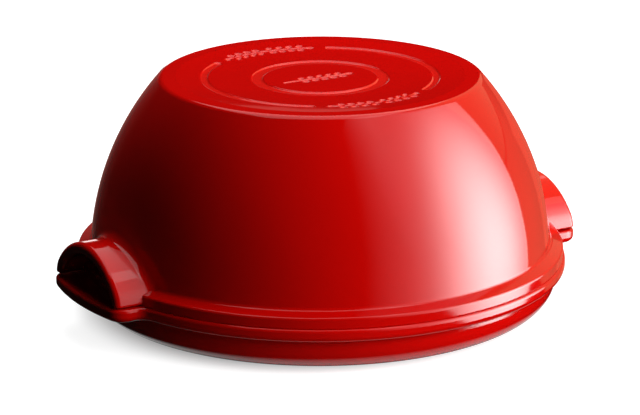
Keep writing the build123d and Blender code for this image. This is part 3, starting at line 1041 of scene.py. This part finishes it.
def red_gloss_glaze():
    """Stoneware under a red gloss glaze, poured over it and fired.

    To the eye it is one deep, even red under a hard clear skin (roughness 0.06, IOR 1.6) that
    mirrors the lamps with sharp edges. The edges sway a little, because the glaze ran and sagged
    as it melted, and have the faintest orange peel. In the pressed marks the red is painted paler,
    the deeper the paler: a painted highlight, like light caught on the walls of the marks."""
    material, tree, output = new_material("red_gloss_glaze")
    place = add(tree, "ShaderNodeTexCoord").outputs["Object"]

    # Thicker and thinner runs of the poured glaze, 45 mm wide, a shade apart
    flow = add(tree, "ShaderNodeTexNoise", {
        "Vector": place, "Scale": per_metre(45), "Detail": 2.0, "Roughness": 0.4,
    })
    body = add(tree, "ShaderNodeMix", {
        "Factor": flow.outputs["Fac"], "A": shade("#d20603"), "B": shade("#c80502"),
    }, data_type="RGBA")
    # Paler red in the pressed marks, the deeper the paler: a painted highlight
    pooled = add(tree, "ShaderNodeAttribute", attribute_name="pooled", attribute_type="GEOMETRY")
    colour = add(tree, "ShaderNodeMix", {
        "Factor": pooled.outputs["Fac"], "A": body.outputs["Result"], "B": shade("#de1a12"),
    }, data_type="RGBA")

    # Sags 22 mm wide and 0.08 mm high, and on them an orange peel 1.6 mm wide and 2 microns high
    sag = add(tree, "ShaderNodeTexNoise", {
        "Vector": place, "Scale": per_metre(22), "Detail": 1.0,
    })
    peel = add(tree, "ShaderNodeTexNoise", {
        "Vector": place, "Scale": per_metre(1.6), "Detail": 1.0,
    })
    waves = add(tree, "ShaderNodeBump", {
        "Strength": 1.0, "Distance": 0.08 * MM, "Height": sag.outputs["Fac"],
    })
    skin = add(tree, "ShaderNodeBump", {
        "Strength": 1.0, "Distance": 0.002 * MM, "Height": peel.outputs["Fac"],
        "Normal": waves.outputs["Normal"],
    })
    surface = add(tree, "ShaderNodeBsdfPrincipled", {
        "Base Color": colour.outputs["Result"], "Roughness": 0.06, "IOR": 1.6,
        "Normal": skin.outputs["Normal"],
    })
    tree.links.new(surface.outputs[0], output.inputs[0])
    return material


def bare_stoneware():
    """Stoneware of the foot ring, wiped clean of glaze before it was fired.

    To the eye it is a dull, sandy cream (roughness 0.85), gritty to the light, with small brown
    specks of iron."""
    material, tree, output = new_material("bare_stoneware")
    place = add(tree, "ShaderNodeTexCoord").outputs["Object"]

    # Grit 0.9 mm wide, and specks in cells 3 mm apart
    grit = add(tree, "ShaderNodeTexNoise", {
        "Vector": place, "Scale": per_metre(0.9), "Detail": 3.0,
    })
    speck = add(tree, "ShaderNodeTexVoronoi", {"Vector": place, "Scale": per_metre(3)})
    spots = add(tree, "ShaderNodeMapRange", {
        "Value": speck.outputs["Distance"], "From Min": 0.12, "From Max": 0.2,
    })
    clay = add(tree, "ShaderNodeMix", {
        "Factor": grit.outputs["Fac"], "A": shade("#c9b79b"), "B": shade("#dccdb4"),
    }, data_type="RGBA")
    colour = add(tree, "ShaderNodeMix", {
        "Factor": spots.outputs["Result"], "A": shade("#8a6f52"), "B": clay.outputs["Result"],
    }, data_type="RGBA")
    rough = add(tree, "ShaderNodeBump", {
        "Strength": 0.6, "Distance": 0.1 * MM, "Height": grit.outputs["Fac"],
    })
    surface = add(tree, "ShaderNodeBsdfPrincipled", {
        "Base Color": colour.outputs["Result"], "Roughness": 0.85, "IOR": 1.5,
        "Normal": rough.outputs["Normal"],
    })
    tree.links.new(surface.outputs[0], output.inputs[0])
    return material


def make_floor():
    """A table top in matt white paint.

    To the camera it is plain white, with the lamps' shadows on its grey paint and a painted soft
    shadow of the pot, darkest where they touch. In the glaze it shows only as a painted pool of
    light, a glowing ring round the foot. To the diffuse light it is a painted pale patch that
    throws some light back at the right of the pot, with black further out as painted shade."""
    material, tree, output = new_material("white_table_top")
    rays = add(tree, "ShaderNodeLightPath").outputs
    place = add(tree, "ShaderNodeTexCoord").outputs["Object"]

    def by_distance(middle, near, far, start, end):
        """A level that goes softly from start to end between two distances from a middle."""
        offset = add(tree, "ShaderNodeVectorMath", {0: place, 1: middle}, operation="SUBTRACT")
        away = add(tree, "ShaderNodeVectorMath", {0: offset.outputs[0]}, operation="LENGTH")
        return add(tree, "ShaderNodeMapRange", {
            "Value": away.outputs["Value"],
            "From Min": near, "From Max": far, "To Min": start, "To Max": end,
        }, interpolation_type="SMOOTHSTEP").outputs["Result"]

    # Seen by the camera: grey paint under the lamps, raised to white by a glow that is painted
    # lower round the pot as a painted shadow, and lower in the nooks by the foot as painted contact
    # shade
    paint = add(tree, "ShaderNodeBsdfDiffuse", {"Color": shade("#aaaaaa")})
    open_sky = add(tree, "ShaderNodeAmbientOcclusion", {"Distance": 0.05}, samples=16)
    painted_contact_shade = add(tree, "ShaderNodeMapRange", {
        "Value": open_sky.outputs["AO"], "From Min": 0.2, "From Max": 0.8,
        "To Min": 0.0, "To Max": 0.15,
    })
    painted_shadow = by_distance(PAINTED_SHADOW_MIDDLE, near=0.104, far=0.142, start=0.15, end=0.85)
    level = add(tree, "ShaderNodeMath", {0: painted_shadow, 1: painted_contact_shade.outputs["Result"]},
                operation="ADD")
    raised = add(tree, "ShaderNodeEmission", {"Color": WHITE, "Strength": level.outputs[0]})
    seen = add(tree, "ShaderNodeAddShader", {0: paint.outputs[0], 1: raised.outputs[0]})

    # Seen by the pot's own colour: a painted pale patch beside the foot, painted light that the
    # table throws back, and black further out as painted shade
    painted_bounce = add(tree, "ShaderNodeBsdfDiffuse", {
        "Color": by_distance(PAINTED_BOUNCE_MIDDLE, near=0.15, far=0.28, start=0.65, end=0.0),
    })

    # Seen in the glaze: a painted pool of light, a glowing ring round the foot, and nothing else
    clear = add(tree, "ShaderNodeBsdfTransparent")
    painted_pool = add(tree, "ShaderNodeMath", {
        0: by_distance((0, 0, 0), near=0.127, far=0.134, start=0.0, end=1.0),
        1: by_distance(PAINTED_POOL_MIDDLE, near=0.135, far=0.140, start=0.6, end=0.0),
    }, operation="MULTIPLY")
    glow = add(tree, "ShaderNodeEmission", {"Color": WHITE, "Strength": painted_pool.outputs[0]})
    mirrored = add(tree, "ShaderNodeAddShader", {0: glow.outputs[0], 1: clear.outputs[0]})

    others = add(tree, "ShaderNodeMixShader", {
        "Fac": rays["Is Glossy Ray"], 1: painted_bounce.outputs[0], 2: mirrored.outputs[0],
    })
    all_rays = add(tree, "ShaderNodeMixShader", {
        "Fac": rays["Is Camera Ray"], 1: others.outputs[0], 2: seen.outputs[0],
    })
    tree.links.new(all_rays.outputs[0], output.inputs[0])
    size = TABLE_HALF_WIDTH
    corners = [(-size, -size, 0), (size, -size, 0), (size, size, 0), (-size, size, 0)]
    floor = new_object("table_top", corners, [(0, 1, 2, 3)])
    floor.data.materials.append(material)


def bearing(azimuth, elevation):
    """Unit direction from the pot, at an azimuth in degrees that grows to the camera's right."""
    around = math.radians(CAMERA_AZIMUTH + azimuth)
    up = math.radians(elevation)
    return Vector((math.sin(around) * math.cos(up), -math.cos(around) * math.cos(up), math.sin(up)))


def make_camera():
    """The camera at the photograph's viewing angle, turned a fraction of a degree as it was."""
    camera = bpy.data.cameras.new("camera")
    camera.lens = CAMERA_LENS
    camera.sensor_width = CAMERA_SENSOR
    camera.clip_end = 100.0
    obj = bpy.data.objects.new("camera", camera)
    bpy.context.scene.collection.objects.link(obj)
    target = Vector(CAMERA_TARGET)
    place = target + CAMERA_DISTANCE * bearing(0, CAMERA_ELEVATION)
    turn = (target - place).to_track_quat("-Z", "Y").to_matrix().to_4x4()
    roll = Matrix.Rotation(math.radians(-CAMERA_ROLL), 4, "Z")
    obj.matrix_world = Matrix.Translation(place) @ turn @ roll
    bpy.context.scene.camera = obj


def make_room():
    """The room: white to the camera, a dim rose dark in the glaze, nearly black to the rest."""
    world = bpy.data.worlds.new("studio")
    world.use_nodes = True
    tree = world.node_tree
    tree.nodes.clear()
    rays = add(tree, "ShaderNodeLightPath")
    seen = add(tree, "ShaderNodeBackground", {"Color": WHITE, "Strength": 1.0})
    walls = add(tree, "ShaderNodeBackground", {"Color": ROSE_ROOM, "Strength": 0.015})
    dark = add(tree, "ShaderNodeBackground", {"Color": WHITE, "Strength": 0.004})
    others = add(tree, "ShaderNodeMixShader", {
        "Fac": rays.outputs["Is Glossy Ray"], 1: dark.outputs[0], 2: walls.outputs[0],
    })
    mixed = add(tree, "ShaderNodeMixShader", {
        "Fac": rays.outputs["Is Camera Ray"], 1: others.outputs[0], 2: seen.outputs[0],
    })
    output = add(tree, "ShaderNodeOutputWorld")
    tree.links.new(mixed.outputs[0], output.inputs[0])
    bpy.context.scene.world = world


def softbox(name, azimuth, elevation, distance, edges, radiance, colour=(1, 1, 1),
            mirrored=True, lights=True):
    """A softbox or card that faces the pot, with a plain level of radiance all over.

    edges gives its reach in metres towards smaller and larger azimuths, down and up. mirrored
    shows it in the glaze, and lights lets it light the glaze's own colour."""
    left, right, down, up = edges
    lamp = bpy.data.lights.new(name, "AREA")
    lamp.shape = "RECTANGLE"
    lamp.size, lamp.size_y = left + right, down + up
    lamp.energy = radiance * math.pi * lamp.size * lamp.size_y
    lamp.color = colour
    obj = bpy.data.objects.new(name, lamp)
    bpy.context.scene.collection.objects.link(obj)
    face = bearing(azimuth, elevation)
    aside = Vector((0, 0, 1)).cross(face).normalized()
    above = face.cross(aside)
    middle = Vector(LAMP_TARGET) + face * distance
    middle += aside * (right - left) / 2
    middle += above * (up - down) / 2
    turn = Matrix((aside, above, face)).transposed().to_4x4()
    obj.matrix_world = Matrix.Translation(middle) @ turn
    obj.visible_glossy = mirrored
    obj.visible_diffuse = lights
    return obj


def hot_spot(obj, middle, spread, base):
    """A lamp behind the cloth: bright about one place of it and dim elsewhere.

    middle and spread are shares of the cloth's width and height. The rest of the cloth glows at
    the level base over one half, and fades to nothing across the other."""
    lamp = obj.data
    lamp.use_nodes = True
    tree = lamp.node_tree
    tree.nodes.clear()
    place = add(tree, "ShaderNodeNewGeometry").outputs["Parametric"]
    offset = add(tree, "ShaderNodeVectorMath", {0: place, 1: (*middle, 0)}, operation="SUBTRACT")
    scaled = add(tree, "ShaderNodeVectorMath", {
        0: offset.outputs[0], 1: (1 / spread[0], 1 / spread[1], 0),
    }, operation="MULTIPLY").outputs[0]
    square = add(tree, "ShaderNodeVectorMath", {0: scaled, 1: scaled}, operation="DOT_PRODUCT")
    fall = add(tree, "ShaderNodeMath", {0: square.outputs["Value"], 1: -0.5},
               operation="MULTIPLY")
    spot = add(tree, "ShaderNodeMath", {0: fall.outputs[0]}, operation="EXPONENT")
    across = add(tree, "ShaderNodeSeparateXYZ", {0: place}).outputs["X"]
    ramp = add(tree, "ShaderNodeMapRange", {
        "Value": across, "From Max": 0.5, "To Max": math.sqrt(base),
    })
    cloth = add(tree, "ShaderNodeMath", {0: ramp.outputs["Result"], 1: 2.0}, operation="POWER")
    total = add(tree, "ShaderNodeMath", {0: spot.outputs[0], 1: cloth.outputs[0]},
                operation="ADD")
    glow = add(tree, "ShaderNodeEmission", {"Color": WHITE, "Strength": total.outputs[0]})
    output = add(tree, "ShaderNodeOutputLight")
    tree.links.new(glow.outputs[0], output.inputs[0])


def make_lamps():
    """The studio. Two lamps only light the pot's own colour, unseen, and all the others, the cards
    and the backdrop only show in the glaze."""
    # Tall panel close at the right, lit from behind its cloth
    panel = softbox("softbox_right", azimuth=84, elevation=0, distance=0.7,
                    edges=(1.5, 0.415, 0.25, 2.6), radiance=10.5, lights=False)
    hot_spot(panel, middle=(0.779, 0.089), spread=(0.11, 0.12), base=0.075)

    # Dim cards further round to the right, one over the other, and a low red one behind the pot
    card = softbox("card_right", azimuth=150, elevation=0, distance=0.9,
                   edges=(0.63, 0.2, 0.35, 0.175), radiance=0.5, colour=WARM_CARD, lights=False)
    hot_spot(card, middle=(0.0, 0.6), spread=(0.42, 2.0), base=0.1)
    softbox("red_card", azimuth=165, elevation=0, distance=0.9,
            edges=(0.4, 0.4, 0.35, 0.06), radiance=0.6, colour=RED_CARD, lights=False)
    softbox("card_high", azimuth=145, elevation=32, distance=0.9,
            edges=(0.52, 0.3, 0.345, 0.5), radiance=0.5, colour=WARM_CARD, lights=False)

    # Rose card behind at the left, and a small bright strip of backdrop straight behind
    rose_card = softbox("card_left", azimuth=200, elevation=-4, distance=1.5,
                        edges=(0.6, 0.6, 0.4, 0.4), radiance=0.3, colour=ROSE_CARD,
                        lights=False)
    hot_spot(rose_card, middle=(0.15, 0.5), spread=(0.3, 2.0), base=0.0)
    softbox("backdrop", azimuth=180, elevation=1, distance=1.5,
            edges=(-0.05, 0.3, 0.14, 0.11), radiance=1.8, lights=False)

    # Light on the glaze's own red: from the right in front, and from above behind
    softbox("key", azimuth=60, elevation=30, distance=1.2,
            edges=(0.45, 0.45, 0.45, 0.45), radiance=7.4, mirrored=False)
    softbox("softbox_back", azimuth=180, elevation=58, distance=1.1,
            edges=(0.42, 0.42, 0.4, 0.4), radiance=5.2, mirrored=False)

    # Long soft ceiling over the pot
    softbox("ceiling", azimuth=180, elevation=89.9, distance=1.0,
            edges=(0.45, 0.45, 1.43, 0.33), radiance=0.9, lights=False)


make_camera()
make_room()
make_floor()
make_lamps()

glaze = red_gloss_glaze()
bare = bare_stoneware()
dome = make_dome(glaze)
dish = make_dish(glaze, bare)
for piece in (dome, make_hood("hood_right", 1, glaze), make_hood("hood_left", -1, glaze)):
    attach(piece, "dome")
for piece in (dish, make_lug("lug_right", 1, glaze), make_lug("lug_left", -1, glaze)):
    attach(piece, "dish")
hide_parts("dome")
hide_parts("dish")

bpy.context.scene.view_settings.view_transform = "Standard"
